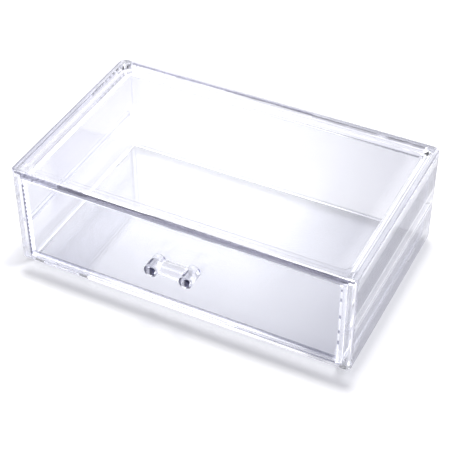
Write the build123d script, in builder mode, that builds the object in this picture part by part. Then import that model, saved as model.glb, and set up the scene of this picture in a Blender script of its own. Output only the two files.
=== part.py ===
from build123d import *
import os
from math import sqrt

# Clear plastic drawer unit for a desk: a case with a stepped stacking top, and one drawer.
# Millimetres, +Z up. The origin is on the table, under the middle of the whole unit with its
# drawer closed and its pull counted in. The drawer opens towards -Y, and +X is to its right.

os.makedirs("parts", exist_ok=True)

# Case: outer size, walls, corners and the posts beside the drawer
case_width = 240.0
case_depth = 142.5
case_height = 77.0
wall_thickness = 3.0
floor_thickness = 2.1
bottom_edge_radius = 3.5
back_corner_radius = 4.5
front_corner_radius = 1.5
front_post_width = 6.0
front_post_depth = 3.0

# Feet under the floor, which nest in the top of the unit below
foot_length = 16.0
foot_width = 4.0
foot_height = 1.5
front_foot_setback = 16.5
back_foot_setback = 24.5
nesting_clearance = 0.2

# Cover: a rim, a slope down to a ledge, a second step, and a flat panel
cover_edge_height = 3.0
rim_width = 3.2
rim_edge_radius = 0.6
slope_depth = 2.3
slope_run = 2.6
rim_corner_cut = 6.0
ledge_width = 2.3
step_depth = 1.1
step_run = 1.6
panel_corner_radius = 5.0
panel_thickness = 3.0

# Guide rails on the case's side walls
rail_height = 2.4
rail_depth = 3.2
rail_rise = 29.0
rail_end_radius = 2.8
rail_back_gap = 3.0

# Drawer: front panel, box and running clearances
front_thickness = 3.0
front_panel_corner_radius = 2.5
front_panel_edge_radius = 0.5
drawer_wall_thickness = 3.0
drawer_rim_drop = 2.0
drawer_rim_radius = 0.8
drawer_floor_thickness = 3.0
drawer_floor_lift = 1.0
running_gap = 0.3
rail_to_drawer_gap = 0.6
drawer_back_gap = 1.2

# Pull: two round posts and the bar between them
pull_reach = 14.0
pull_post_diameter = 9.0
pull_post_spacing = 24.6
pull_post_bevel = 1.2
pull_rise = 37.8
crossbar_height = 8.5
crossbar_depth = 9.5
crossbar_offset = 1.2
crossbar_radius = 3.0

# Thickness of the glue between bonded pieces
bond_gap = 0.1

# Levels and places worked out from the sizes above
front_y = (pull_reach - case_depth) / 2
back_y = front_y + case_depth
case_middle_y = (front_y + back_y) / 2
floor_top = foot_height + floor_thickness
cover_seat = case_height - cover_edge_height
wall_top = cover_seat - bond_gap
ledge_level = case_height - slope_depth
panel_top = ledge_level - step_depth
cover_underside = panel_top - panel_thickness

inner_half_width = case_width / 2 - wall_thickness
mouth_half_width = case_width / 2 - front_post_width
inner_front_y = front_y + front_post_depth
inner_back_y = back_y - wall_thickness
inner_depth = inner_back_y - inner_front_y
inner_corner_radius = max(back_corner_radius - wall_thickness, 0.5)

front_plane = Plane.XZ.offset(-front_y)
front_bottom = floor_top + running_gap
front_top = cover_underside - running_gap
front_half_width = mouth_half_width - running_gap

drawer_half_width = inner_half_width - rail_depth - rail_to_drawer_gap
drawer_inner_half_width = drawer_half_width - drawer_wall_thickness
drawer_start_y = front_y + front_thickness + bond_gap
drawer_end_y = inner_back_y - drawer_back_gap
drawer_inner_end_y = drawer_end_y - drawer_wall_thickness
fitted_half_width = drawer_inner_half_width - bond_gap
drawer_wall_height = front_top - drawer_rim_drop - front_bottom
drawer_floor_bottom = front_bottom + drawer_floor_lift

pull_level = front_bottom + pull_rise
pull_post_x = pull_post_spacing / 2

# Case body: rounded long bottom edges from the front, rounded upright corners from above
with BuildPart() as case_body:
    with BuildSketch(front_plane) as silhouette:
        with Locations((0, foot_height)):
            Rectangle(case_width, wall_top - foot_height, align=(Align.CENTER, Align.MIN))
        fillet(silhouette.vertices().group_by(Axis.Y)[0], bottom_edge_radius)
    extrude(amount=-case_depth)
    with BuildSketch(Plane.XY.offset(foot_height)) as plan:
        with Locations((0, case_middle_y)):
            Rectangle(case_width, case_depth)
        fillet(plan.vertices().group_by(Axis.Y)[0], front_corner_radius)
        fillet(plan.vertices().group_by(Axis.Y)[-1], back_corner_radius)
    extrude(amount=wall_top - foot_height, mode=Mode.INTERSECT)

    # The space for the drawer, and its mouth between the front posts
    with BuildSketch(Plane.XY.offset(floor_top)) as hollow:
        with Locations((0, inner_front_y)):
            Rectangle(2 * inner_half_width, inner_depth, align=(Align.CENTER, Align.MIN))
        fillet(hollow.vertices().group_by(Axis.Y)[-1], inner_corner_radius)
    extrude(amount=wall_top - floor_top, mode=Mode.SUBTRACT)
    with BuildSketch(Plane.XY.offset(floor_top)) as mouth:
        with Locations((0, front_y)):
            Rectangle(2 * mouth_half_width, front_post_depth, align=(Align.CENTER, Align.MIN))
    extrude(amount=wall_top - floor_top, mode=Mode.SUBTRACT)

    # Four long feet, just inside the ledge of the cover below
    foot_x = case_width / 2 - rim_width - slope_run - nesting_clearance - foot_width / 2
    with BuildSketch(Plane.XY) as feet:
        for foot_y in (front_y + front_foot_setback, back_y - back_foot_setback):
            with Locations((-foot_x, foot_y), (foot_x, foot_y)):
                SlotOverall(foot_length, foot_width, rotation=90)
    extrude(amount=foot_height)
case_body.part.label = "case_body"
export_step(case_body.part, "parts/case_body.step")

# Top cover: a plate on the walls, a thicker middle between them, and the stepped recess
with BuildPart() as top_cover:
    with BuildSketch(Plane.XY.offset(cover_seat)) as cover_plan:
        with Locations((0, case_middle_y)):
            Rectangle(case_width, case_depth)
        fillet(cover_plan.vertices().group_by(Axis.Y)[0], front_corner_radius)
        fillet(cover_plan.vertices().group_by(Axis.Y)[-1], back_corner_radius)
    extrude(amount=cover_edge_height)
    fillet(top_cover.faces().sort_by(Axis.Z)[-1].edges(), rim_edge_radius)

    with BuildSketch(Plane.XY.offset(cover_underside)) as middle:
        with Locations((0, inner_front_y + bond_gap)):
            Rectangle(
                2 * (inner_half_width - bond_gap),
                inner_depth - 2 * bond_gap,
                align=(Align.CENTER, Align.MIN),
            )
        fillet(middle.vertices().group_by(Axis.Y)[-1], inner_corner_radius)
        with Locations((0, front_y)):
            Rectangle(
                2 * (mouth_half_width - bond_gap),
                front_post_depth + 2 * bond_gap,
                align=(Align.CENTER, Align.MIN),
            )
    extrude(amount=cover_seat - cover_underside)

    # The slope, whose corners are cut at 45 degrees
    corner_cut_below = rim_corner_cut - slope_run * (2 - sqrt(2))
    for level, inset, corner_cut in (
        (case_height, rim_width, rim_corner_cut),
        (ledge_level, rim_width + slope_run, corner_cut_below),
    ):
        with BuildSketch(Plane.XY.offset(level)) as loop:
            with Locations((0, case_middle_y)):
                Rectangle(case_width - 2 * inset, case_depth - 2 * inset)
            chamfer(loop.vertices(), corner_cut)
    loft(mode=Mode.SUBTRACT)

    # The second step down to the panel, with round corners
    for level, inset, corner_radius in (
        (ledge_level, rim_width + slope_run + ledge_width, panel_corner_radius + step_run),
        (panel_top, rim_width + slope_run + ledge_width + step_run, panel_corner_radius),
    ):
        with BuildSketch(Plane.XY.offset(level)) as loop:
            with Locations((0, case_middle_y)):
                Rectangle(case_width - 2 * inset, case_depth - 2 * inset)
            fillet(loop.vertices(), corner_radius)
    loft(mode=Mode.SUBTRACT)
top_cover.part.label = "top_cover"
export_step(top_cover.part, "parts/top_cover.step")

# Guide rails: strips on the side walls, from the front posts to a rounded back end
with BuildPart() as left_guide_rail:
    with BuildSketch(Plane.XY.offset(floor_top + rail_rise)) as strip:
        with Locations((-inner_half_width + bond_gap, inner_front_y + bond_gap)):
            Rectangle(
                rail_depth - bond_gap,
                inner_depth - rail_back_gap - bond_gap,
                align=(Align.MIN, Align.MIN),
            )
        fillet(strip.vertices().group_by(Axis.Y)[-1].sort_by(Axis.X)[-1], rail_end_radius)
    extrude(amount=rail_height)
left_guide_rail.part.label = "left_guide_rail"
export_step(left_guide_rail.part, "parts/left_guide_rail.step")

with BuildPart() as right_guide_rail:
    mirror(left_guide_rail.part, about=Plane.YZ)
right_guide_rail.part.label = "right_guide_rail"
export_step(right_guide_rail.part, "parts/right_guide_rail.step")

# Drawer front: flush with the case, with a running gap on all four sides
with BuildPart() as drawer_front:
    with BuildSketch(front_plane) as panel:
        with Locations((0, front_bottom)):
            Rectangle(
                2 * front_half_width,
                front_top - front_bottom,
                align=(Align.CENTER, Align.MIN),
            )
        fillet(panel.vertices(), front_panel_corner_radius)
    extrude(amount=-front_thickness)
    fillet(drawer_front.faces().sort_by(Axis.Y)[0].edges(), front_panel_edge_radius)
drawer_front.part.label = "drawer_front"
export_step(drawer_front.part, "parts/drawer_front.step")

# Drawer walls: their lower edges run on the case's floor
with BuildPart() as drawer_left_wall:
    with BuildSketch(Plane.XY.offset(front_bottom)) as wall:
        with Locations((-drawer_half_width, drawer_start_y)):
            Rectangle(
                drawer_wall_thickness,
                drawer_end_y - drawer_start_y,
                align=(Align.MIN, Align.MIN),
            )
    extrude(amount=drawer_wall_height)
    fillet(
        drawer_left_wall.edges().filter_by(Axis.Y).group_by(Axis.Z)[-1],
        drawer_rim_radius,
    )
drawer_left_wall.part.label = "drawer_left_wall"
export_step(drawer_left_wall.part, "parts/drawer_left_wall.step")

with BuildPart() as drawer_right_wall:
    mirror(drawer_left_wall.part, about=Plane.YZ)
drawer_right_wall.part.label = "drawer_right_wall"
export_step(drawer_right_wall.part, "parts/drawer_right_wall.step")

with BuildPart() as drawer_back_wall:
    with BuildSketch(Plane.XY.offset(front_bottom)) as wall:
        with Locations((0, drawer_inner_end_y)):
            Rectangle(
                2 * fitted_half_width,
                drawer_wall_thickness,
                align=(Align.CENTER, Align.MIN),
            )
    extrude(amount=drawer_wall_height)
    fillet(
        drawer_back_wall.edges().filter_by(Axis.X).group_by(Axis.Z)[-1],
        drawer_rim_radius,
    )
drawer_back_wall.part.label = "drawer_back_wall"
export_step(drawer_back_wall.part, "parts/drawer_back_wall.step")

# Drawer floor: let in between the walls, a little above their lower edges
with BuildPart() as drawer_floor:
    with BuildSketch(Plane.XY.offset(drawer_floor_bottom)) as base:
        with Locations((0, drawer_start_y)):
            Rectangle(
                2 * fitted_half_width,
                drawer_inner_end_y - bond_gap - drawer_start_y,
                align=(Align.CENTER, Align.MIN),
            )
    extrude(amount=drawer_floor_thickness)
drawer_floor.part.label = "drawer_floor"
export_step(drawer_floor.part, "parts/drawer_floor.step")

# Pull posts: round, bonded on the front panel, with a bevelled outer end
with BuildPart() as pull_left_post:
    with BuildSketch(front_plane.offset(bond_gap)) as section:
        with Locations((-pull_post_x, pull_level)):
            Circle(pull_post_diameter / 2)
    extrude(amount=pull_reach - bond_gap)
    chamfer(pull_left_post.edges().sort_by(Axis.Y)[0], pull_post_bevel)
pull_left_post.part.label = "pull_left_post"
export_step(pull_left_post.part, "parts/pull_left_post.step")

with BuildPart() as pull_right_post:
    mirror(pull_left_post.part, about=Plane.YZ)
pull_right_post.part.label = "pull_right_post"
export_step(pull_right_post.part, "parts/pull_right_post.step")

# Pull crossbar: its ends are hollowed to fit round the posts
with BuildPart() as pull_crossbar:
    with BuildSketch(Plane.YZ.offset(-pull_post_x)) as section:
        with Locations((front_y - crossbar_offset - crossbar_depth / 2, pull_level)):
            RectangleRounded(crossbar_depth, crossbar_height, crossbar_radius)
    extrude(amount=pull_post_spacing)
    with BuildSketch(front_plane) as post_room:
        with Locations((-pull_post_x, pull_level), (pull_post_x, pull_level)):
            Circle(pull_post_diameter / 2 + bond_gap)
    extrude(amount=pull_reach, mode=Mode.SUBTRACT)
pull_crossbar.part.label = "pull_crossbar"
export_step(pull_crossbar.part, "parts/pull_crossbar.step")
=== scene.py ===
import logging
import math
from dataclasses import dataclass, field
from enum import Enum, IntEnum

import bmesh
import bpy
from mathutils import Matrix, Vector


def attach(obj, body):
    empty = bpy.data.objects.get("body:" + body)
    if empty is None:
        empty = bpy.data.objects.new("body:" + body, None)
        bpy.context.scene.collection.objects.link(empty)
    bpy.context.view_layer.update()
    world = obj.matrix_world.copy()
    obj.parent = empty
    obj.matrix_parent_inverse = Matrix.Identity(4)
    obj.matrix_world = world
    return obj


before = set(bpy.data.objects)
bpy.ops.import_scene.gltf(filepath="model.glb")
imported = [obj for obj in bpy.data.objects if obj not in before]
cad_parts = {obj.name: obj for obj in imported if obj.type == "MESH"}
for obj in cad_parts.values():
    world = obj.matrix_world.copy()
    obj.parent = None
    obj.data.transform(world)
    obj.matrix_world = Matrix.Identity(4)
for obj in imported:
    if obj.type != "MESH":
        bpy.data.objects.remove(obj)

MM = 0.001
LOG = logging.getLogger("drawer_unit")
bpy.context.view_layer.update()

Span = tuple[float, float]
Point = tuple[float, float, float]
Colour = tuple[float, float, float]

# The Mix node's sockets by data type: first input, second input, output.
MIX_SOCKETS = {"RGBA": (6, 7, 2), "VECTOR": (4, 5, 1)}
# Fresnel's rise towards a graze, as a power of the slant.
GRAZE_POWER = 5.0
# The haze of the polish: how many ripples wide its clouds are, how finely they are drawn, and the
# levels of their noise between which it sets in.
CLOUD_WIDTH = 2
CLOUD_DETAIL = 4.0
CLOUD_LEVELS = (0.45, 0.75)
# How finely the moulding ripples are drawn.
RIPPLE_DETAIL = 1.0
LEFT, RIGHT = -1, 1
SIDES = ((LEFT, "left"), (RIGHT, "right"))


class Body(Enum):
    """The two bodies that the pieces ride on."""

    CASE = "case"
    DRAWER = "drawer"


class Slot(Enum):
    """The record's material slots."""

    CASE = "clear_case"
    COVER = "clear_cover"
    RAIL = "clear_rail"
    DRAWER = "clear_drawer"
    PULL = "clear_pull"


class Axis(IntEnum):
    """The axes of the shared frame."""

    X = 0
    Y = 1
    Z = 2


def rgba(colour: Colour) -> tuple[float, float, float, float]:
    """Make a colour opaque.

    Args:
        colour: its red, green and blue.

    Returns:
        The same with an alpha of 1.
    """
    return (*colour, 1.0)


class Graph:
    """A node tree that starts empty, and the ways in which this script adds nodes to it.

    Args:
        owner: the material or world that the tree belongs to.
    """

    def __init__(self, owner: bpy.types.ID) -> None:
        owner.use_nodes = True
        self.tree: bpy.types.NodeTree = owner.node_tree
        self.tree.nodes.clear()

    def feed(self, socket: bpy.types.NodeSocket, value: object) -> None:
        """Give a node's input its value.

        Args:
            socket: the input.
            value: the output of another node, or a fixed value.
        """
        if isinstance(value, bpy.types.NodeSocket):
            self.tree.links.new(value, socket)
        else:
            socket.default_value = value

    def node(
        self, kind: str, inputs: dict[str | int, object], operation: str = "",
    ) -> bpy.types.Node:
        """Add a node.

        Args:
            kind: its type, without the ShaderNode in front.
            inputs: what its inputs get, by name or number.
            operation: what it works out, for a node that has a choice.

        Returns:
            The node.
        """
        node = self.tree.nodes.new(f"ShaderNode{kind}")
        if operation:
            node.operation = operation
        for name, value in inputs.items():
            self.feed(node.inputs[name], value)
        return node

    def maths(self, operation: str, *values: object) -> bpy.types.NodeSocket:
        """Work out a number.

        Args:
            operation: what is done with the values.
            values: sockets or numbers.

        Returns:
            The result.
        """
        return self.node("Math", dict(enumerate(values)), operation).outputs["Value"]

    def vectors(self, operation: str, *values: object) -> bpy.types.NodeSocket:
        """Work out a vector, or the dot product of two.

        Args:
            operation: what is done with the values.
            values: sockets or vectors.

        Returns:
            The result.
        """
        node = self.node("VectorMath", dict(enumerate(values)), operation)
        return node.outputs["Value" if operation == "DOT_PRODUCT" else "Vector"]

    def scaled(self, vector: Colour, factor: bpy.types.NodeSocket) -> bpy.types.NodeSocket:
        """Scale a vector or a colour.

        Args:
            vector: what is scaled.
            factor: by how much.

        Returns:
            The result.
        """
        return self.node("VectorMath", {0: vector, "Scale": factor}, "SCALE").outputs["Vector"]

    def remap(
        self, value: bpy.types.NodeSocket, source: Span = (0.0, 1.0), target: Span = (0.0, 1.0),
        smooth: bool = False,
    ) -> bpy.types.NodeSocket:
        """Turn one range of numbers into another, and stay within it.

        Args:
            value: the number.
            source: the range that it comes from.
            target: the range that it goes to.
            smooth: whether both ends are eased.

        Returns:
            The result.
        """
        node = self.node("MapRange", {
            "Value": value, "From Min": source[0], "From Max": source[1],
            "To Min": target[0], "To Max": target[1],
        })
        if smooth:
            node.interpolation_type = "SMOOTHSTEP"
        return node.outputs["Result"]

    def mix(
        self, data_type: str, share: bpy.types.NodeSocket, first: object, second: object,
        way: str = "MIX",
    ) -> bpy.types.NodeSocket:
        """Mix two colours or vectors.

        Args:
            data_type: RGBA or VECTOR.
            share: how much of the second there is.
            first: a socket or a value.
            second: a socket or a value.
            way: how colours are mixed.

        Returns:
            The result.
        """
        node = self.tree.nodes.new("ShaderNodeMix")
        node.data_type = data_type
        node.blend_type = way
        first_input, second_input, output = MIX_SOCKETS[data_type]
        self.feed(node.inputs["Factor"], share)
        self.feed(node.inputs[first_input], first)
        self.feed(node.inputs[second_input], second)
        return node.outputs[output]

    def either(
        self, share: bpy.types.NodeSocket, first: bpy.types.NodeSocket,
        second: bpy.types.NodeSocket,
    ) -> bpy.types.NodeSocket:
        """Show one shader or another.

        Args:
            share: 0 for the first, 1 for the second.
            first: the first shader.
            second: the second shader.

        Returns:
            The shader that is shown.
        """
        return self.node("MixShader", {"Fac": share, 1: first, 2: second}).outputs["Shader"]

    def ray(self, kind: str) -> bpy.types.NodeSocket:
        """Tell one kind of ray from the others.

        Args:
            kind: the kind, such as Camera.

        Returns:
            1 for a ray of this kind, 0 for any other.
        """
        return self.node("LightPath", {}).outputs[f"Is {kind} Ray"]


@dataclass(frozen=True)
class TintedZone:
    """A box in which a clear piece is tinted, for cement marks or painted shade, or shows painted
    light in place of light that it guides there.

    Args:
        x: where the box begins and ends to the right, in metres.
        y: the same towards the back.
        z: the same upwards.
        colour: share of the light that still passes, or the painted light that is added.
        fade: how far the tint fades out beyond the box, in metres.
    """

    x: Span
    y: Span
    z: Span
    colour: Colour
    fade: float = 0.0002

    def mask(self, graph: Graph, place: bpy.types.NodeSocket) -> bpy.types.NodeSocket:
        """Tell the box from the rest of the piece.

        Args:
            graph: the material's nodes.
            place: object coordinates.

        Returns:
            1 in the box, 0 outside it.
        """
        spans = (self.x, self.y, self.z)
        middle = [(low + high) / 2 for low, high in spans]
        half = [(high - low) / 2 for low, high in spans]
        away = graph.vectors("ABSOLUTE", graph.vectors("SUBTRACT", place, middle))
        beyond = graph.vectors("SUBTRACT", away, half)
        x, y, z = graph.node("SeparateXYZ", {0: beyond}).outputs
        farthest = graph.maths("MAXIMUM", graph.maths("MAXIMUM", x, y), z)
        return graph.remap(farthest, (self.fade, 0.0))

    def blend(
        self, graph: Graph, place: bpy.types.NodeSocket, colour: object, way: str,
    ) -> bpy.types.NodeSocket:
        """Add the zone to a colour.

        Args:
            graph: the material's nodes.
            place: object coordinates.
            colour: the colour so far, a socket or a value.
            way: MULTIPLY to tint it, or ADD to brighten it with painted light.

        Returns:
            The colour with the zone in it.
        """
        return graph.mix("RGBA", self.mask(graph, place), colour, rgba(self.colour), way)


@dataclass(frozen=True)
class ClearAcrylic:
    """Water-clear moulded acrylic: bends light, darkens along its length, and is never quite flat.

    Args:
        name: the material's name.
        tint: colour of the surface's transmitted light.
        depth_colour: colour that long paths inside the plate turn to.
        depth_density: how fast they turn, per metre.
        haze: greatest roughness, in the faint clouds of the polish.
        ripple_size: spacing of the moulding ripples, in metres.
        ripple_height: how far the ripples stand up, in metres.
        lamp_share: share of lamp light that one surface lets by when it is struck squarely.
        slant_loss: share of the rest that it turns away when it is struck at a graze.
        index: refractive index.
        zones: where the surface is darker: painted shade, and the cement marks of some pieces.
        lamp_zones: where it lets less lamp light by.
        painted_lights: where it shows painted light, in place of light that the piece guides
            there.
    """

    name: str
    tint: Colour = (0.965, 0.967, 0.98)
    depth_colour: Colour = (0.66, 0.68, 0.7)
    depth_density: float = 0.0
    haze: float = 0.03
    ripple_size: float = 0.03
    ripple_height: float = 0.00004
    lamp_share: float = 0.985
    slant_loss: float = 0.55
    index: float = 1.49
    zones: tuple[TintedZone, ...] = ()
    lamp_zones: tuple[TintedZone, ...] = ()
    painted_lights: tuple[TintedZone, ...] = ()

    def plastic(self, graph: Graph, place: bpy.types.NodeSocket) -> bpy.types.NodeSocket:
        """Make the plastic that the eye sees.

        Args:
            graph: the material's nodes.
            place: object coordinates.

        Returns:
            Its shader.
        """
        clouds = graph.node("TexNoise", {
            "Vector": place, "Scale": 1 / (CLOUD_WIDTH * self.ripple_size), "Detail": CLOUD_DETAIL,
        })
        ripples = graph.node("TexNoise", {
            "Vector": place, "Scale": 1 / self.ripple_size, "Detail": RIPPLE_DETAIL,
        })
        bump = graph.node("Bump", {
            "Strength": 1.0, "Distance": self.ripple_height, "Height": ripples.outputs["Fac"],
        })
        colour = rgba(self.tint)
        # Painted shade, and cement marks on some pieces, darken the surface colour in the zones.
        for zone in self.zones:
            colour = zone.blend(graph, place, colour, "MULTIPLY")
        plastic = graph.node("BsdfPrincipled", {
            "Base Color": colour,
            "Transmission Weight": 1.0,
            "IOR": self.index,
            "Roughness": graph.remap(clouds.outputs["Fac"], CLOUD_LEVELS, (0.0, self.haze)),
            "Normal": bump.outputs["Normal"],
        })
        # Painted light: emission in these zones stands for light that the piece guides there.
        if self.painted_lights:
            light = rgba((0.0, 0.0, 0.0))
            for zone in self.painted_lights:
                light = zone.blend(graph, place, light, "ADD")
            graph.feed(plastic.inputs["Emission Color"], light)
            graph.feed(plastic.inputs["Emission Strength"], 1.0)
        return plastic.outputs["BSDF"]

    def lamp_light(self, graph: Graph, place: bpy.types.NodeSocket) -> bpy.types.NodeSocket:
        """Let the lamps' light by, less of it at a graze.

        Args:
            graph: the material's nodes.
            place: object coordinates.

        Returns:
            The shader for shadow rays.
        """
        facing = graph.node("LayerWeight", {"Blend": 0.5}).outputs["Facing"]
        grazed_share = self.lamp_share * (1.0 - self.slant_loss)
        graze = graph.maths("POWER", facing, GRAZE_POWER)
        shade = graph.scaled(self.tint, graph.remap(graze, target=(self.lamp_share, grazed_share)))
        for zone in self.lamp_zones:
            shade = zone.blend(graph, place, shade, "MULTIPLY")
        return graph.node("BsdfTransparent", {"Color": shade}).outputs["BSDF"]

    def build(self) -> bpy.types.Material:
        """Make the node material.

        Returns:
            The new material.
        """
        material = bpy.data.materials.new(self.name)
        graph = Graph(material)
        place = graph.node("TexCoord", {}).outputs["Object"]
        surface = graph.either(
            graph.ray("Shadow"), self.plastic(graph, place), self.lamp_light(graph, place),
        )
        depth = graph.node("VolumeAbsorption", {
            "Color": rgba(self.depth_colour), "Density": self.depth_density,
        })
        graph.node("OutputMaterial", {"Surface": surface, "Volume": depth.outputs["Volume"]})
        return material


@dataclass(frozen=True)
class TableTop:
    """White lacquered table that fades into the backdrop.

    Args:
        colour: colour of the lacquer.
        white_lift: light added for the eye, so that the table is a white ground.
        bent_lift: light added for mirrored and bent rays.
        gloss_roughness: roughness of the lacquer.
        shine: specular level of the lacquer.
        grain_scale: fineness of the lacquer's grain, per metre.
        grain_height: how far the grain stands up, in metres.
    """

    colour: Colour = (0.8, 0.8, 0.8)
    white_lift: float = 0.25
    bent_lift: float = 0.05
    gloss_roughness: float = 0.12
    shine: float = 0.25
    grain_scale: float = 300.0
    grain_height: float = 0.00001

    def build(self) -> bpy.types.Material:
        """Make the node material.

        Returns:
            The new material.
        """
        material = bpy.data.materials.new("white_table")
        graph = Graph(material)
        place = graph.node("TexCoord", {}).outputs["Object"]
        grain = graph.node("TexNoise", {"Vector": place, "Scale": self.grain_scale})
        bump = graph.node("Bump", {
            "Distance": self.grain_height, "Height": grain.outputs["Fac"],
        })
        lacquer = graph.node("BsdfPrincipled", {
            "Base Color": rgba(self.colour),
            "Roughness": self.gloss_roughness,
            "Specular IOR Level": self.shine,
            "Normal": bump.outputs["Normal"],
        })
        bent = graph.maths("MAXIMUM", graph.ray("Glossy"), graph.ray("Transmission"))
        bent_glow = graph.maths("MULTIPLY", bent, self.bent_lift)
        strength = graph.maths("MULTIPLY_ADD", graph.ray("Camera"), self.white_lift, bent_glow)
        glow = graph.node("Emission", {"Strength": strength})
        both = graph.node("AddShader", {0: lacquer.outputs["BSDF"], 1: glow.outputs["Emission"]})
        graph.node("OutputMaterial", {"Surface": both.outputs["Shader"]})
        return material


def dress(node: str, finish: bpy.types.Material) -> None:
    """Give a CAD node its finish.

    Args:
        node: the node's name.
        finish: its material.
    """
    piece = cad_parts[node]
    piece.data.materials.clear()
    piece.data.materials.append(finish)
    LOG.info("dressed %s", node)


def on_side(side: int, span: Span) -> Span:
    """Lay a span on the left or the right.

    Args:
        side: LEFT or RIGHT.
        span: its near and far end from the middle.

    Returns:
        The span from its lower to its higher end.
    """
    low, high = sorted(side * end for end in span)
    return low, high


# ---- Where the pieces meet, in millimetres. The x spans of paired pieces count from the middle.
FRONT_FACE_Y = -64.25
POST_X = 12.3
POST_Z = 41.7
COVER_GAP_Z = (73.9, 74.0)
SIDE_WALL_X = (117.0, 120.0)
SIDE_WALL_Y = (-62.75, 73.7)
BACK_WALL_X = (-115.5, 115.5)
BACK_WALL_Y = (75.25, 78.25)
FRONT_POST_X = (114.0, 116.9)
FRONT_POST_Y = (-64.25, -61.25)
RAIL_GAP_X = (116.9, 117.0)
RAIL_Y = (-61.1, 72.0)
RAIL_Z = (32.6, 35.0)
DRAWER_WALL_X = (110.2, 113.2)
DRAWER_WALL_Z = (4.2, 68.0)
DRAWER_GAP_X = (110.1, 110.2)
DRAWER_FRONT_GAP_Y = (-61.25, -61.15)
DRAWER_FLOOR_X = (-110.0, 110.0)
DRAWER_FLOOR_Y = (-61.0, 70.9)
DRAWER_FLOOR_Z = (4.9, 7.9)
DRAWER_BACK_Y = (71.05, 74.05)
DRAWER_BACK_Z = (4.2, 67.5)
DRAWER_BACK_GAP_Y = (70.95, 71.05)
PANEL_GAP = 0.1

# ---- The lowest of the dashes up an edge, in millimetres.
FIRST_DASH = (5.0, 6.9)


def dashes(pitch: float, count: int) -> tuple[Span, ...]:
    """Repeat the first dash up an edge.

    Args:
        pitch: how far apart the dashes are, in millimetres.
        count: how many there are.

    Returns:
        Lower and upper end of each, in millimetres.
    """
    foot, top = FIRST_DASH
    return tuple((foot + pitch * step, top + pitch * step) for step in range(count))


def marks(x: Span, y: Span, levels: tuple[Span, ...], colour: Colour) -> tuple[TintedZone, ...]:
    """Lay short marks above each other, where the cement missed a little of the bond.

    Args:
        x: where the strip that they lie in begins and ends to the right, in metres.
        y: the same towards the back.
        levels: lower and upper end of each mark, in millimetres.
        colour: their tint.

    Returns:
        One zone for each mark.
    """
    return tuple(TintedZone(x, y, (low * MM, high * MM), colour) for low, high in levels)


def on_posts(x: Span, out: Span, z: Span, colour: Colour) -> tuple[TintedZone, ...]:
    """Lay one zone on both of the pull's posts.

    Args:
        x: where it begins and ends to the right of a post's axis, in millimetres.
        out: the same along the post, out from the front panel.
        z: the same above the axis.
        colour: its colour.

    Returns:
        The zone on the left post and the one on the right.
    """
    return tuple(
        TintedZone(
            ((side * POST_X + x[0]) * MM, (side * POST_X + x[1]) * MM),
            ((FRONT_FACE_Y - out[1]) * MM, (FRONT_FACE_Y - out[0]) * MM),
            ((POST_Z + z[0]) * MM, (POST_Z + z[1]) * MM),
            colour,
        )
        for side, _ in SIDES
    )


# ---- Painted shade, painted light, cement marks and lamp shading by piece. Zones are boxes in object coordinates, in metres: x, y, z.
# Places that several zones share.
FRONT_SKIN = (-0.0644, -0.0641)
COVER_LIP = (-0.0646, -0.0641)
PANEL_EDGE = (-0.0645, -0.0610)
RIGHT_FACE = (0.1198, 0.1203)
RIGHT_FACE_SHADE = (-0.0630, 0.0780)
RIGHT_FACE_LINE = (-0.0625, 0.0740)
LEFT_WALL = (-0.1134, -0.1100)
LEFT_WALL_LENGTH = (-0.0612, 0.0741)
DASH_TINT = (0.12, 0.12, 0.18)

BODY_SHADE_AND_MARKS = (
    # Painted shade: the right wall's grey bands, between the painted bright lines of
    # BODY_PAINTED_LIGHT.
    TintedZone(RIGHT_FACE, RIGHT_FACE_SHADE, (0.0490, 0.0672), (0.4, 0.4, 0.45), fade=0.001),
    TintedZone(RIGHT_FACE, RIGHT_FACE_SHADE, (0.0410, 0.0450), (0.85, 0.85, 0.88), fade=0.001),
    TintedZone(RIGHT_FACE, RIGHT_FACE_SHADE, (0.0180, 0.0322), (0.64, 0.64, 0.7), fade=0.001),
    TintedZone(RIGHT_FACE, RIGHT_FACE_SHADE, (0.0040, 0.0170), (0.88, 0.88, 0.92), fade=0.001),
    # Dashes up the left outer edge.
    *marks((-0.1202, -0.1192), (-0.0646, -0.0620), dashes(3.3, 10), DASH_TINT),
)
BODY_PAINTED_LIGHT = (
    # Painted highlights on the front posts' edges.
    TintedZone((0.1168, 0.1198), FRONT_SKIN, (0.001, 0.0742), (0.16, 0.162, 0.175)),
    TintedZone((-0.1188, -0.1135), FRONT_SKIN, (0.001, 0.0742), (0.14, 0.142, 0.15)),
    # Painted highlights: lines along the right wall, for the edges of the drawer and the rail
    # behind it.
    TintedZone(RIGHT_FACE, RIGHT_FACE_LINE, (0.0462, 0.0472), (0.1, 0.1, 0.1), fade=0.0004),
    TintedZone(RIGHT_FACE, RIGHT_FACE_LINE, (0.0365, 0.0382), (0.16, 0.16, 0.16), fade=0.0004),
    TintedZone(RIGHT_FACE, RIGHT_FACE_LINE, (0.0330, 0.0342), (0.12, 0.12, 0.12), fade=0.0004),
)

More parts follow.
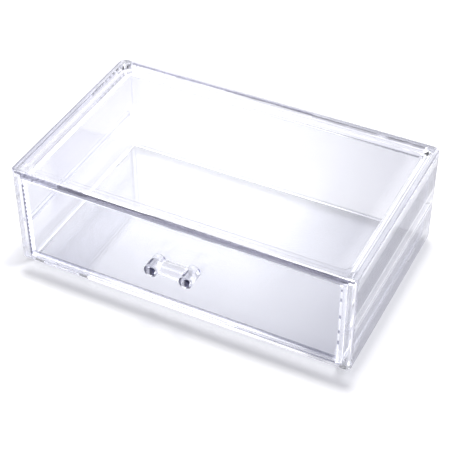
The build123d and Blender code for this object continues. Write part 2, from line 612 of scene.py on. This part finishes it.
COVER_PAINTED_SHADE = (
    # Painted shade: the dark line along the front face, paler at its left end, and the grey one
    # under it.
    TintedZone((-0.118, -0.086), COVER_LIP, (0.0725, 0.0756), (0.16, 0.16, 0.22)),
    TintedZone((-0.0855, 0.118), COVER_LIP, (0.0725, 0.0756), (0.035, 0.034, 0.055)),
    TintedZone((-0.118, 0.118), COVER_LIP, (0.0704, 0.0722), (0.5, 0.5, 0.58)),
    # Painted shade on the left outer edge, and a painted dark line on the back rim's inner edge.
    TintedZone((-0.1205, -0.1196), (-0.0640, 0.0790), (0.0700, 0.0775), (0.2, 0.2, 0.28)),
    TintedZone((-0.1100, 0.0300), (0.0750, 0.0761), (0.0766, 0.0772), (0.2, 0.19, 0.3)),
)
COVER_LAMP_ZONES = (
    # The front rim, which shades a line on the table.
    TintedZone((-0.102, 0.121), (-0.065, -0.0585), (0.07, 0.078), (0.15, 0.15, 0.18), fade=0.0004),
)
COVER_PAINTED_LIGHT = (
    # Painted light, faint, on the slope and the ledge inside the back rim.
    TintedZone(
        (-0.112, 0.119), (0.0715, 0.0778), (0.0742, 0.0769), (0.09, 0.09, 0.105), fade=0.0005,
    ),
    # Painted highlights, left: the rim, its slope, the ledge's edge and the panel's edge.
    TintedZone((-0.1191, -0.1172), (-0.0635, 0.0775), (0.0768, 0.0772), (0.19, 0.19, 0.21)),
    TintedZone((-0.1162, -0.1148), (-0.0605, 0.0745), (0.0751, 0.0765), (0.24, 0.24, 0.26)),
    TintedZone((-0.1115, -0.1106), (-0.0560, 0.0700), (0.0738, 0.0744), (0.12, 0.12, 0.13)),
    TintedZone(
        (-0.1097, -0.1068), (-0.0545, 0.0685), (0.0733, 0.0738), (0.08, 0.08, 0.09), fade=0.0005,
    ),
    # Painted highlights, right: the rim, its slope, the ledge, its edge, the panel's edge, and a
    # line outside.
    TintedZone((0.1175, 0.1190), (-0.0635, 0.0775), (0.0768, 0.0772), (0.26, 0.26, 0.28)),
    TintedZone((0.1148, 0.1162), (-0.0605, 0.0745), (0.0751, 0.0765), (0.24, 0.24, 0.26)),
    TintedZone((0.1122, 0.1138), (-0.0575, 0.0715), (0.0745, 0.0749), (0.5, 0.5, 0.5)),
    TintedZone((0.1107, 0.1115), (-0.0560, 0.0700), (0.0739, 0.0744), (0.3, 0.3, 0.3)),
    TintedZone(
        (0.1090, 0.1096), (-0.0460, 0.0600), (0.0734, 0.0738), (0.08, 0.08, 0.08), fade=0.009,
    ),
    TintedZone((0.1197, 0.1203), RIGHT_FACE_LINE, (0.0755, 0.0762), (0.12, 0.12, 0.12)),
    # Painted highlights, back: the rim, strongest at the left, its slope in two strengths, and the
    # ledge.
    TintedZone((-0.1120, -0.0300), (0.0768, 0.0779), (0.0768, 0.0772), (0.13, 0.13, 0.14)),
    TintedZone(
        (-0.1120, 0.0400), (0.0768, 0.0779), (0.0768, 0.0772), (0.1, 0.1, 0.11), fade=0.0005,
    ),
    TintedZone((-0.1100, 0.0300), (0.0727, 0.0745), (0.0748, 0.0764), (0.34, 0.34, 0.36)),
    TintedZone((0.0305, 0.1120), (0.0727, 0.0745), (0.0748, 0.0764), (0.22, 0.22, 0.24)),
    TintedZone((-0.1110, 0.1110), (0.0680, 0.0704), (0.0733, 0.0749), (0.32, 0.32, 0.34)),
)

RAIL_PAINTED_SHADE = (
    # Painted shade on the left rail's inner edge.
    TintedZone((-0.1141, -0.1135), (-0.0620, 0.0730), (0.0320, 0.0353), (0.35, 0.35, 0.42)),
)

DRAWER_PAINTED_SHADE = (
    # Painted shade, soft, on the upper part of the left wall.
    TintedZone(
        (-0.1136, -0.1098), (-0.0300, 0.0741), (0.0300, 0.0690), (0.84, 0.84, 0.88), fade=0.01,
    ),
)
DRAWER_PAINTED_LIGHT = (
    # Painted light on a patch of the floor, the left wall and its lower part, and the right wall's
    # front end.
    TintedZone(
        (-0.0750, 0.0200), (-0.0100, 0.0600), (0.0045, 0.0083), (0.045, 0.045, 0.045), fade=0.03,
    ),
    TintedZone(LEFT_WALL, LEFT_WALL_LENGTH, (0.0035, 0.0685), (0.035, 0.035, 0.04)),
    TintedZone(LEFT_WALL, LEFT_WALL_LENGTH, (0.0035, 0.0400), (0.045, 0.045, 0.048), fade=0.004),
    TintedZone(
        (0.1100, 0.1134), (-0.0612, -0.0575), (0.0035, 0.0685), (0.14, 0.14, 0.145), fade=0.0005,
    ),
)

FRONT_SHADE_AND_MARKS = (
    # Painted shade on the panel's left edge.
    TintedZone((-0.1139, -0.1131), PANEL_EDGE, (0.0040, 0.0700), (0.8, 0.8, 0.85)),
    # Painted shade: dark lines at its foot, over the drawer's floor and along its lower edge,
    # deeper on the right.
    TintedZone((-0.1125, 0.1095), FRONT_SKIN, (0.0086, 0.0104), (0.3, 0.3, 0.36), fade=0.0008),
    TintedZone((-0.1125, 0.0400), FRONT_SKIN, (0.0040, 0.0049), (0.45, 0.45, 0.5), fade=0.0004),
    TintedZone((0.0405, 0.1130), FRONT_SKIN, (0.0040, 0.0050), (0.16, 0.16, 0.22), fade=0.0004),
    # Dashes up the left edge, and drops in the right seam.
    *marks((-0.1137, -0.1128), PANEL_EDGE, dashes(3.6, 17), DASH_TINT),
    *marks(
        (0.1094, 0.1105), (-0.0614, -0.0610),
        ((19.5, 22.5), (29.0, 31.5), (41.5, 44.0), (55.5, 58.0), (63.5, 65.3)), (0.15, 0.15, 0.22),
    ),
)

POST_PAINTED_SHADE = (
    # Painted shade on dark facets: at the upper left, beside the foot, two on the bevelled end and
    # one under it.
    *on_posts((-4.6, -1.2), (5.5, 11.0), (0.5, 4.7), (0.05, 0.05, 0.1)),
    *on_posts((3.0, 4.6), (-0.2, 1.5), (1.0, 4.0), (0.2, 0.2, 0.3)),
    *on_posts((0.4, 3.4), (13.0, 14.2), (-1.6, 3.8), (0.01, 0.01, 0.03)),
    *on_posts((-4.6, -2.2), (12.8, 14.2), (-3.0, 3.5), (0.08, 0.08, 0.14)),
    *on_posts((2.0, 4.0), (11.5, 13.4), (-4.6, -2.4), (0.15, 0.15, 0.25)),
)
POST_PAINTED_HIGHLIGHTS = (
    # Painted highlights on light facets: on top near the foot, along the right, and low on the
    # end.
    *on_posts((-2.8, 2.8), (0.6, 4.6), (3.0, 4.6), (0.3, 0.3, 0.31)),
    *on_posts((2.6, 4.6), (5.8, 11.5), (-1.0, 3.6), (0.3, 0.3, 0.3)),
    *on_posts((-1.8, 0.8), (13.0, 14.2), (-4.0, -1.8), (0.5, 0.5, 0.5)),
)
BAR_PAINTED_GLOW = (
    # Painted light over all of the crossbar between the posts, which brightens it.
    TintedZone((-0.009, 0.009), (-0.0755, -0.0650), (0.0370, 0.0465), (0.07, 0.07, 0.073)),
)
CEMENT_PAINTED_GLOW = (
    # Painted light on the bead in the drawer's front right corner, which makes it glow.
    TintedZone((0.1070, 0.1103), (-0.0615, -0.0570), (0.0040, 0.0690), (0.12, 0.12, 0.125)),
)


@dataclass
class Case:
    """The standing part: moulded body, stepped cover and guide rails.

    Args:
        body_finish: the moulded body's acrylic.
        cover_finish: the cover's.
        rail_finish: the guide rails', frosted by their bond.
    """

    body_finish: ClearAcrylic = ClearAcrylic(
        "case_acrylic", zones=BODY_SHADE_AND_MARKS, painted_lights=BODY_PAINTED_LIGHT,
    )
    cover_finish: ClearAcrylic = ClearAcrylic(
        "cover_acrylic", tint=(0.93, 0.932, 0.95), lamp_share=1.05, zones=COVER_PAINTED_SHADE,
        lamp_zones=COVER_LAMP_ZONES, painted_lights=COVER_PAINTED_LIGHT,
    )
    rail_finish: ClearAcrylic = ClearAcrylic("rail_acrylic", haze=0.08, zones=RAIL_PAINTED_SHADE)

    def dress(self) -> None:
        """Give the case's pieces their finishes."""
        dress("case_body", self.body_finish.build())
        dress("top_cover", self.cover_finish.build())
        rail = self.rail_finish.build()
        for _, name in SIDES:
            dress(f"{name}_guide_rail", rail)


@dataclass
class Drawer:
    """The sliding part: front panel, box and pull.

    Args:
        box_finish: acrylic of the floor and the three walls.
        front_finish: the front panel's.
        post_finish: the pull's posts', turned from thicker stock.
        bar_finish: the pull's crossbar's.
    """

    box_finish: ClearAcrylic = ClearAcrylic(
        "drawer_acrylic", depth_density=0.3, zones=DRAWER_PAINTED_SHADE, painted_lights=DRAWER_PAINTED_LIGHT,
    )
    front_finish: ClearAcrylic = ClearAcrylic(
        "front_acrylic", slant_loss=0.2, depth_density=0.3, ripple_size=0.02,
        ripple_height=0.0001, zones=FRONT_SHADE_AND_MARKS,
    )
    post_finish: ClearAcrylic = ClearAcrylic(
        "post_acrylic", haze=0.0, depth_colour=(0.5, 0.5, 0.6), depth_density=20.0,
        ripple_size=0.004, zones=POST_PAINTED_SHADE, painted_lights=POST_PAINTED_HIGHLIGHTS,
    )
    bar_finish: ClearAcrylic = ClearAcrylic("bar_acrylic", haze=0.0, painted_lights=BAR_PAINTED_GLOW)

    def dress(self) -> None:
        """Give the drawer's pieces their finishes."""
        box = self.box_finish.build()
        for name in ("floor", "left_wall", "right_wall", "back_wall"):
            dress(f"drawer_{name}", box)
        dress("drawer_front", self.front_finish.build())
        post = self.post_finish.build()
        for _, name in SIDES:
            dress(f"pull_{name}_post", post)
        dress("pull_crossbar", self.bar_finish.build())


@dataclass(frozen=True)
class Film:
    """A thin film of cement in the gap between two flat bonded faces.

    Args:
        x: where the gap begins and ends to the right, in millimetres.
        y: the same towards the back.
        z: the same upwards.
        across: the axis that the gap is thin along.
    """

    x: Span
    y: Span
    z: Span
    across: Axis

    def add(self, shape: bmesh.types.BMesh, soak: float, inset: float) -> None:
        """Add the film to a shape.

        Args:
            shape: what it is added to.
            soak: how far it soaks into the faces that it joins, in millimetres.
            inset: how far it stays back from their edges, in millimetres.
        """
        low, high = (Vector(corner) for corner in zip(self.x, self.y, self.z))
        for axis in Axis:
            step = soak if axis is self.across else -inset
            low[axis] -= step
            high[axis] += step
        size = Matrix.Diagonal((*((high - low) * MM), 1.0))
        place = Matrix.Translation((low + high) / 2 * MM) @ size
        bmesh.ops.create_cube(shape, size=1.0, matrix=place)


def loft(sections: list[list[Vector]]) -> bmesh.types.BMesh:
    """Join sections with equally many corners into a closed solid.

    Args:
        sections: the corners of each section, from one end to the other, in millimetres.

    Returns:
        The solid.
    """
    shape = bmesh.new()
    rings = [[shape.verts.new(corner * MM) for corner in section] for section in sections]
    for ring, beyond in zip(rings, rings[1:]):
        for corner in range(len(ring)):
            shape.faces.new((ring[corner - 1], ring[corner], beyond[corner], beyond[corner - 1]))
    shape.faces.new(rings[0])
    shape.faces.new(rings[-1])
    return shape


@dataclass
class Seams:
    """The clear cement that bonds the pieces, and lets light run from one piece into the next.

    Args:
        finish: the cement's finish.
        soak: how far it soaks into the faces that it joins, in millimetres.
        inset: how far it stays back from their edges, in millimetres.
        bead_corner: foot of the corner that the squeezed-out bead runs up, in millimetres.
        bead_outline: corners of the bead's section, as shares of its width across and back.
        bead_widths: height and width of the bead on its way up, in millimetres.
        disc_y: middle of the discs under the pull's posts, in millimetres.
        disc_radius: their radius, in millimetres.
        disc_segments: their number of sides.
        bar_reach: how near and far from a post's axis the cement at the bar's ends lies.
        bar_y: its front and back, in millimetres.
        bar_half_angle: how far it wraps the post above and below the bar, in degrees.
        bar_steps: its number of sides.
        material: the cement's material, once it is built.
    """

    finish: ClearAcrylic = ClearAcrylic(
        "cement", haze=0.0, ripple_height=0.0, painted_lights=CEMENT_PAINTED_GLOW,
    )
    soak: float = 0.01
    inset: float = 0.08
    bead_corner: Point = (110.19, -61.24, 0.0)
    bead_outline: tuple[Span, ...] = ((0.0, 0.0), (-1.0, 0.0), (-0.45, 0.25), (0.0, 0.6))
    bead_widths: tuple[Span, ...] = (
        (4.6, 2.3), (7.0, 2.2), (9.5, 2.0), (12.0, 2.3), (15.0, 1.6), (19.0, 1.1), (24.0, 0.9),
        (28.0, 1.2), (33.0, 0.9), (39.0, 1.3), (44.0, 1.0), (50.0, 1.3), (55.0, 1.1),
        (60.0, 1.5), (64.0, 1.3), (68.0, 1.6),
    )
    disc_y: float = -64.3
    disc_radius: float = 4.4
    disc_segments: int = 48
    bar_reach: Span = (4.49, 4.61)
    bar_y: Span = (-74.2, -66.2)
    bar_half_angle: float = 43.0
    bar_steps: int = 12
    material: bpy.types.Material = field(init=False)

    def keep(self, name: str, shape: bmesh.types.BMesh, body: Body) -> None:
        """Turn a shape into a piece of the object.

        Args:
            name: the piece's name.
            shape: its shape, which is used up.
            body: the body that it rides on.
        """
        bmesh.ops.recalc_face_normals(shape, faces=shape.faces)
        mesh = bpy.data.meshes.new(name)
        shape.to_mesh(mesh)
        shape.free()
        mesh.materials.append(self.material)
        piece = bpy.data.objects.new(name, mesh)
        bpy.context.scene.collection.objects.link(piece)
        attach(piece, body.value)
        LOG.info("added %s", name)

    def films(self, name: str, body: Body, slot: Slot, films: tuple[Film, ...]) -> None:
        """Add one seam made of flat films.

        Args:
            name: the seam's name.
            body: the body that it rides on.
            slot: the record's slot for the seam; not used.
            films: its films.
        """
        shape = bmesh.new()
        for film in films:
            film.add(shape, self.soak, self.inset)
        self.keep(name, shape, body)

    def case_seams(self) -> None:
        """Bond the cover on the walls and posts, and the rails on the walls."""
        walls, posts = (
            tuple(Film(on_side(side, x), y, COVER_GAP_Z, Axis.Z) for side, _ in SIDES)
            for x, y in ((SIDE_WALL_X, SIDE_WALL_Y), (FRONT_POST_X, FRONT_POST_Y))
        )
        back = Film(BACK_WALL_X, BACK_WALL_Y, COVER_GAP_Z, Axis.Z)
        self.films("cover_seam", Body.CASE, Slot.COVER, (*walls, back, *posts))
        for side, name in SIDES:
            rail = Film(on_side(side, RAIL_GAP_X), RAIL_Y, RAIL_Z, Axis.X)
            self.films(f"{name}_rail_seam", Body.CASE, Slot.RAIL, (rail,))

    def drawer_seams(self) -> None:
        """Bond the drawer's panels to each other."""
        for side, name in SIDES:
            wall, gap = on_side(side, DRAWER_WALL_X), on_side(side, DRAWER_GAP_X)
            self.films(f"drawer_{name}_front_seam", Body.DRAWER, Slot.DRAWER, (
                Film(wall, DRAWER_FRONT_GAP_Y, DRAWER_WALL_Z, Axis.Y),
            ))
            self.films(f"drawer_{name}_wall_seam", Body.DRAWER, Slot.DRAWER, (
                Film(gap, DRAWER_FLOOR_Y, DRAWER_FLOOR_Z, Axis.X),
                Film(gap, DRAWER_BACK_Y, DRAWER_BACK_Z, Axis.X),
            ))
        self.films("drawer_floor_seam", Body.DRAWER, Slot.DRAWER, tuple(
            Film(DRAWER_FLOOR_X, gap, DRAWER_FLOOR_Z, Axis.Y)
            for gap in (DRAWER_FRONT_GAP_Y, DRAWER_BACK_GAP_Y)
        ))

    def bead(self) -> None:
        """Run the squeezed-out bead up the corner between the front panel and the right wall."""
        corner = Vector(self.bead_corner)
        bead = loft([
            [
                corner + Vector((across * width, back * width, level))
                for across, back in self.bead_outline
            ]
            for level, width in self.bead_widths
        ])
        self.keep("drawer_right_cement_bead", bead, Body.DRAWER)

    def post_disc(self, side: int) -> bmesh.types.BMesh:
        """Make the disc of cement between a post and the front panel.

        Args:
            side: LEFT or RIGHT.

        Returns:
            Its shape.
        """
        shape = bmesh.new()
        middle = Vector((side * POST_X, self.disc_y, POST_Z)) * MM
        bmesh.ops.create_cone(
            shape, cap_ends=True, segments=self.disc_segments,
            radius1=self.disc_radius * MM, radius2=self.disc_radius * MM,
            depth=(PANEL_GAP + 2 * self.soak) * MM,
            matrix=Matrix.Translation(middle) @ Matrix.Rotation(math.pi / 2, 4, "X"),
        )
        return shape

    def bar_end(self, side: int) -> bmesh.types.BMesh:
        """Make the curved sheet of cement between the crossbar's end and a post.

        Args:
            side: LEFT or RIGHT.

        Returns:
            Its shape.
        """
        half = math.radians(self.bar_half_angle)
        turns = [half * (2 * step / self.bar_steps - 1) for step in range(self.bar_steps + 1)]
        axis = Vector((side * POST_X, 0.0, POST_Z))
        near, far = self.bar_reach
        front, back = self.bar_y
        return loft([
            [
                axis + Vector((-side * math.cos(turn) * reach, depth, math.sin(turn) * reach))
                for reach, depth in ((near, back), (far, back), (far, front), (near, front))
            ]
            for turn in turns
        ])

    def pull_seams(self) -> None:
        """Bond the posts on the front panel, and the bar between the posts."""
        for side, name in SIDES:
            self.keep(f"pull_{name}_post_seam", self.post_disc(side), Body.DRAWER)
            self.keep(f"pull_{name}_bar_seam", self.bar_end(side), Body.DRAWER)

    def build(self) -> None:
        """Add every seam."""
        self.material = self.finish.build()
        self.case_seams()
        self.drawer_seams()
        self.bead()
        self.pull_seams()


@dataclass(frozen=True)
class SoftLamp:
    """A square soft lamp that points at the object.

    Args:
        name: the lamp's name.
        towards: direction that it hangs in, seen from the object.
        distance: how far away it hangs, in metres.
        size: its side, in metres.
        power: its power, in watts.
    """

    name: str
    towards: Point
    distance: float
    size: float
    power: float

    def hang(self) -> None:
        """Put the lamp in the scene; it lights the object and is not mirrored in it."""
        data = bpy.data.lights.new(self.name, "AREA")
        data.shape = "SQUARE"
        data.size = self.size
        data.energy = self.power
        lamp = bpy.data.objects.new(self.name, data)
        place = Vector(self.towards).normalized() * self.distance
        lamp.location = place
        lamp.visible_glossy = False
        lamp.visible_transmission = False
        lamp.visible_camera = False
        lamp.rotation_mode = "QUATERNION"
        lamp.rotation_quaternion = (-place).to_track_quat("-Z", "Y")
        bpy.context.scene.collection.objects.link(lamp)


@dataclass(frozen=True)
class Softbox:
    """A round glowing patch of the surroundings, as clear plastic mirrors and bends it.

    Args:
        turn: how far its middle lies to the left of straight behind the object, in degrees.
        rise: how high it stands, in degrees.
        core: radius of its evenly bright middle, in degrees.
        edge: radius at which it has faded out, in degrees.
        glow: brightness of its middle.
    """

    turn: float
    rise: float
    core: float
    edge: float
    glow: float

    def add(
        self, graph: Graph, place: bpy.types.NodeSocket, room: bpy.types.NodeSocket,
    ) -> bpy.types.NodeSocket:
        """Add the patch to the surroundings.

        Args:
            graph: the world's nodes.
            place: the direction that is looked in.
            room: the surroundings' colour so far.

        Returns:
            The colour with the patch in it.
        """
        turn, rise = math.radians(self.turn), math.radians(self.rise)
        towards = (
            -math.sin(turn) * math.cos(rise),
            math.cos(turn) * math.cos(rise),
            math.sin(rise),
        )
        near = graph.vectors("DOT_PRODUCT", place, towards)
        limits = (math.cos(math.radians(self.edge)), math.cos(math.radians(self.core)))
        share = graph.remap(near, limits, smooth=True)
        return graph.mix("VECTOR", share, room, (self.glow,) * 3)


@dataclass
class Studio:
    """White table, soft lamps, pale surroundings and the camera.

    Args:
        table_finish: the table's lacquer.
        table_reach: half the table's side, in metres.
        sky_strength: brightness of the surroundings as light on the object.
        sky_colour: their colour.
        sky_lean: how their brightness grows to the right, towards the back and upwards.
        sky_least: the least that it sinks to.
        dark_towards: direction of the darker part of the room, behind the photographer.
        dark_spread: radius at which it has faded out, in degrees.
        dark_share: share of the brightness that is left in its middle.
        softboxes: glowing patches of the surroundings.
        key_lamp: the lamp over the object.
        side_lamp: the weaker lamp to the left.
        camera_yaw: how far the camera stands to the right of the front, in degrees.
        camera_pitch: how far it looks down, in degrees.
        camera_roll: how far it is turned about its own axis, in degrees.
        camera_place: where it stands, in metres.
        camera_clip: the nearest and farthest that it sees, in metres.
        lens: focal length, in millimetres on a 36 mm sensor.
        light_steps: how many surfaces a ray may pass.
    """

    table_finish: TableTop = TableTop()
    table_reach: float = 6.0
    sky_strength: float = 0.5
    sky_colour: Colour = (0.885, 0.885, 1.0)
    sky_lean: Point = (0.04, 0.18, 0.066)
    sky_least: float = 0.04
    dark_towards: Point = (0.35, -0.75, 0.55)
    dark_spread: float = 42.0
    dark_share: float = 0.15
    softboxes: tuple[Softbox, ...] = (Softbox(29.0, 39.5, 0.5, 9.8, 2.6),)
    key_lamp: SoftLamp = SoftLamp("key_lamp", (0.04, 0.13, 0.98), 1.2, 0.11, 8.8)
    side_lamp: SoftLamp = SoftLamp("side_lamp", (-0.85, 0.25, 0.8), 1.2, 0.5, 2.8)
    camera_yaw: float = 26.97
    camera_pitch: float = 40.58
    camera_roll: float = -0.36
    camera_place: Point = (0.29921, -0.58571, 0.58865)
    camera_clip: Span = (0.01, 50.0)
    lens: float = 103.5
    light_steps: int = 128

    def table(self) -> None:
        """Lay the table under the feet."""
        mesh = bpy.data.meshes.new("table")
        shape = bmesh.new()
        bmesh.ops.create_grid(shape, x_segments=1, y_segments=1, size=self.table_reach)
        shape.to_mesh(mesh)
        shape.free()
        table = bpy.data.objects.new("table", mesh)
        bpy.context.scene.collection.objects.link(table)
        mesh.materials.append(self.table_finish.build())

    def surroundings(self) -> None:
        """Make the pale surroundings: plain to the eye, and shaded as light on the object."""
        world = bpy.data.worlds.new("surroundings")
        bpy.context.scene.world = world
        graph = Graph(world)
        place = graph.node("TexCoord", {}).outputs["Generated"]
        lean = graph.vectors("DOT_PRODUCT", place, self.sky_lean)
        level = graph.maths("MAXIMUM", graph.maths("ADD", lean, self.sky_strength), self.sky_least)
        near_dark = graph.vectors("DOT_PRODUCT", place, Vector(self.dark_towards).normalized())
        dark_limits = (math.cos(math.radians(self.dark_spread)), 1.0)
        dark = graph.remap(near_dark, dark_limits, (1.0, self.dark_share), smooth=True)
        colour = graph.scaled(self.sky_colour, graph.maths("MULTIPLY", level, dark))
        for softbox in self.softboxes:
            colour = softbox.add(graph, place, colour)
        light = graph.node("Background", {"Color": colour})
        seen = graph.node("Background", {"Strength": 1.0})
        surface = graph.either(
            graph.ray("Camera"), light.outputs["Background"], seen.outputs["Background"],
        )
        graph.node("OutputWorld", {"Surface": surface})

    def camera(self) -> None:
        """Stand the camera where the photograph was taken from."""
        data = bpy.data.cameras.new("camera")
        data.lens = self.lens
        data.clip_start, data.clip_end = self.camera_clip
        camera = bpy.data.objects.new("camera", data)
        turn = (
            Matrix.Rotation(math.radians(self.camera_yaw), 4, "Z")
            @ Matrix.Rotation(math.radians(90 - self.camera_pitch), 4, "X")
            @ Matrix.Rotation(math.radians(self.camera_roll), 4, "Z")
        )
        camera.matrix_world = Matrix.Translation(self.camera_place) @ turn
        bpy.context.scene.collection.objects.link(camera)
        bpy.context.scene.camera = camera

    def settings(self) -> None:
        """Let light through the many layers of clear plastic."""
        scene = bpy.context.scene
        scene.view_settings.view_transform = "Standard"
        scene.cycles.max_bounces = self.light_steps
        scene.cycles.transmission_bounces = self.light_steps
        scene.cycles.glossy_bounces = self.light_steps
        scene.cycles.transparent_max_bounces = self.light_steps

    def build(self) -> None:
        """Set everything round the object."""
        self.table()
        self.surroundings()
        self.key_lamp.hang()
        self.side_lamp.hang()
        self.camera()
        self.settings()


def main() -> None:
    """Dress the unit and set the studio round it."""
    logging.basicConfig(level=logging.INFO, format="%(name)s: %(message)s")
    Case().dress()
    Drawer().dress()
    Seams().build()
    Studio().build()


if __name__ == "__main__":
    main()
